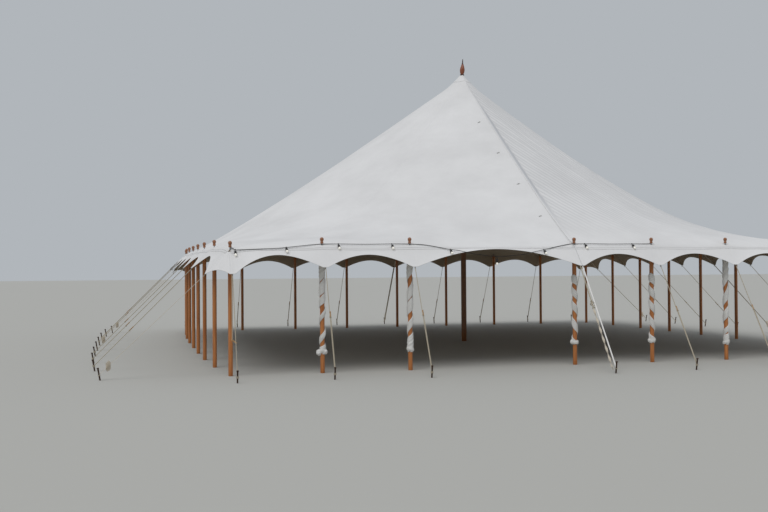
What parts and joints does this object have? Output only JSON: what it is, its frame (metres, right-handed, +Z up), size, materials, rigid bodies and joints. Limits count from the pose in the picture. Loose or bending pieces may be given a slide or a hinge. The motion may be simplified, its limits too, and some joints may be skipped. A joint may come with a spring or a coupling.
{
  "type": "pole marquee",
  "caption": "Square white canvas marquee on one king pole, with a petal eave on varnished side poles, laced roof halves, guys and stakes.",
  "frame": {"origin": "on the ground under the king pole, at the middle of the plan", "axes": "+X along the front to the right, the front with the doorway faces -Y, +Z up"},
  "size_m": [16.8278, 15.3678, 6.705],
  "materials": {
    "festoon_rubber": "matt black rubber",
    "flap_canvas": "matt proofed canvas over the lacing",
    "guy_webbing": "weathered natural rope and webbing",
    "king_pole_wood": "satin varnish",
    "red_brown_wood": "satin varnish over dark turned wood",
    "varnished_wood": "satin varnish over orange-brown softwood",
    "white_canvas": "matt proofed cotton-look canvas",
    "white_voile": "sheer white voile",
    "zinc_plated_steel": "zinc plated"
  },
  "bodies": {
    "root": {"crown_ring": "zinc_plated_steel", "festoon_string": "festoon_rubber", "finial": "red_brown_wood", "guys_and_stakes_back": "guy_webbing", "guys_and_stakes_front": "guy_webbing", "guys_and_stakes_left": "guy_webbing", "guys_and_stakes_right": "guy_webbing", "king_pole": "king_pole_wood", "lacing_flap_back": "flap_canvas", "lacing_flap_front": "flap_canvas", "petals_back_left": "white_canvas", "petals_back_right": "white_canvas", "petals_front_left": "white_canvas", "petals_front_right": "white_canvas", "petals_left": "white_canvas", "petals_right": "white_canvas", "pole_back_0": "varnished_wood", "pole_back_1": "varnished_wood", "pole_back_2": "varnished_wood", "pole_back_3": "varnished_wood", "pole_back_4": "varnished_wood", "pole_back_5": "varnished_wood", "pole_back_6": "varnished_wood", "pole_back_7": "varnished_wood", "pole_back_8": "varnished_wood", "pole_front_0": "varnished_wood", "pole_front_1": "varnished_wood", "pole_front_2": "varnished_wood", "pole_front_4": "varnished_wood", "pole_front_5": "varnished_wood", "pole_front_6": "varnished_wood", "pole_front_7": "varnished_wood", "pole_front_8": "varnished_wood", "pole_left_1": "varnished_wood", "pole_left_2": "varnished_wood", "pole_left_3": "varnished_wood", "pole_left_4": "varnished_wood", "pole_left_5": "varnished_wood", "pole_left_6": "varnished_wood", "pole_left_7": "varnished_wood", "pole_right_1": "varnished_wood", "pole_right_2": "varnished_wood", "pole_right_3": "varnished_wood", "pole_right_4": "varnished_wood", "pole_right_5": "varnished_wood", "pole_right_6": "varnished_wood", "pole_right_7": "varnished_wood", "roof_left": "white_canvas", "roof_right": "white_canvas", "voile_wrap_1": "white_voile", "voile_wrap_2": "white_voile", "voile_wrap_4": "white_voile", "voile_wrap_5": "white_voile", "voile_wrap_6": "white_voile", "voile_wrap_7": "white_voile"}
  },
  "joints": []
}
